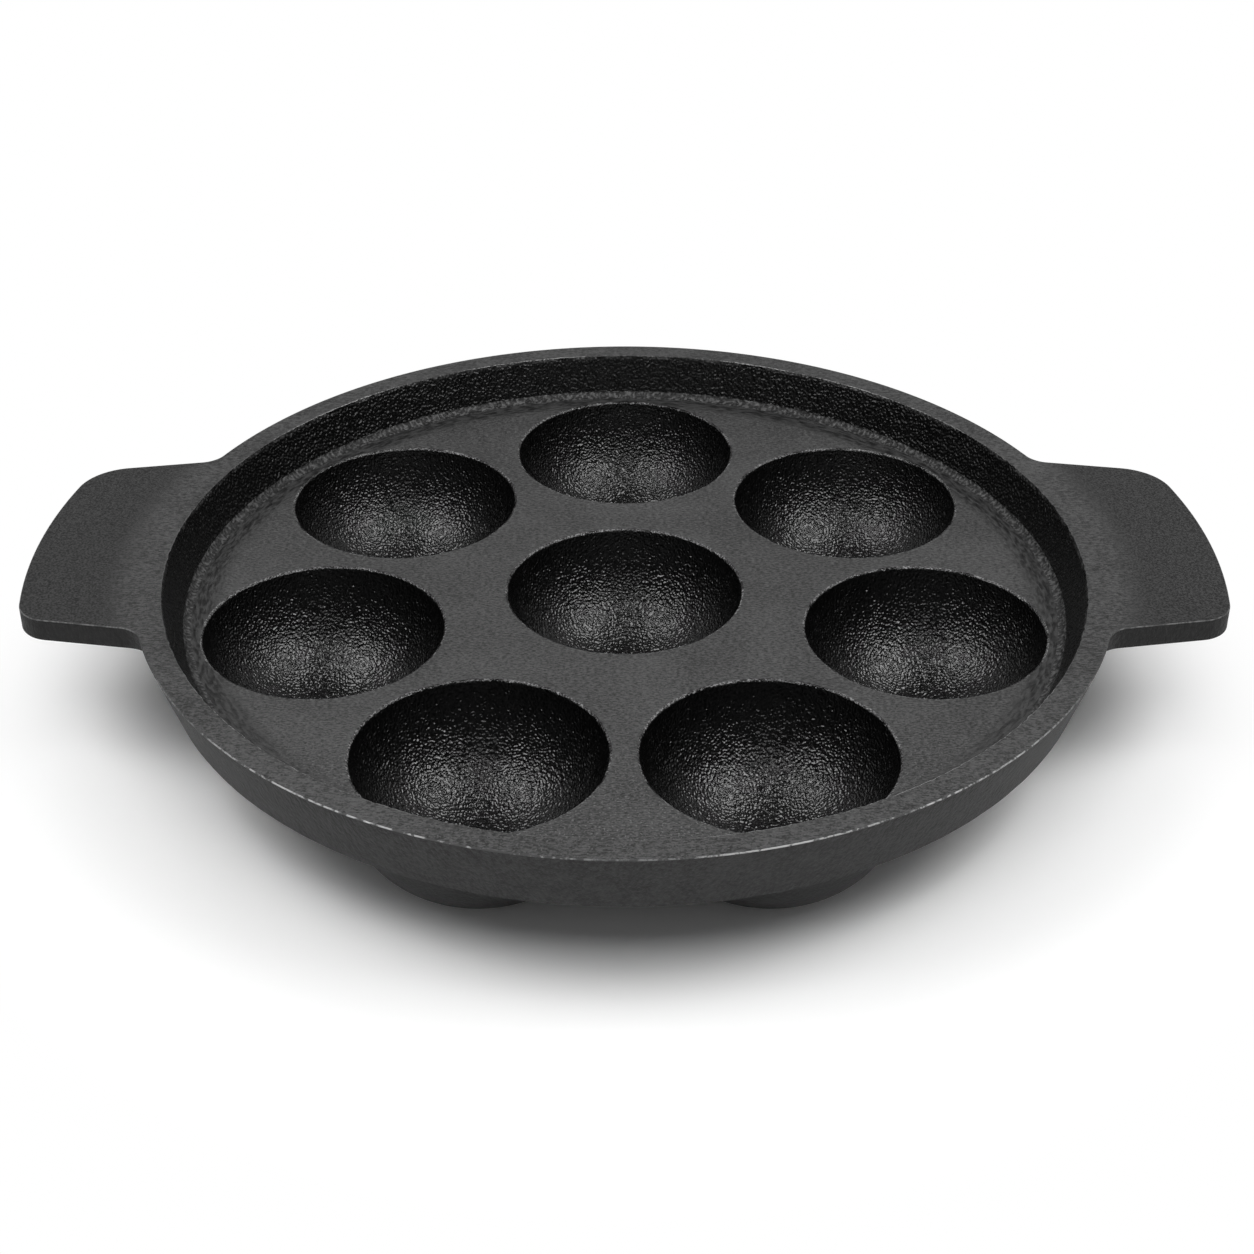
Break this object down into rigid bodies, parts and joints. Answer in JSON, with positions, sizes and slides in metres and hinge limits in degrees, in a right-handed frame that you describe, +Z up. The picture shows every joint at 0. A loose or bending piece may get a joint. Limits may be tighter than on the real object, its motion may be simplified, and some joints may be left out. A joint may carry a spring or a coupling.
{
  "type": "paniyaram pan",
  "caption": "Round cast-iron pan with bowl-shaped cups in a recessed deck, a raised rim and two flat tab handles, for baking batter into small round cakes on a burner.",
  "frame": {"origin": "on the ground that the cups' feet stand on, under the middle of the rim", "axes": "+X towards the right-hand handle, +Y towards the back cup, +Z up"},
  "size_m": [0.2582, 0.21, 0.0376],
  "materials": {
    "ground_iron": "black seasoned iron, ground smooth on the top faces with a fine dull grain",
    "cast_iron": "black seasoned iron, pebbled as it came from the sand, with a soft sheen"
  },
  "bodies": {
    "root": {"deck": "ground_iron", "rim": "ground_iron", "handle_left": "ground_iron", "handle_right": "ground_iron", "cup_1": "cast_iron", "cup_2": "cast_iron", "cup_3": "cast_iron", "cup_4": "cast_iron", "cup_5": "cast_iron", "cup_6": "cast_iron", "cup_7": "cast_iron", "cup_middle": "cast_iron"}
  },
  "joints": []
}
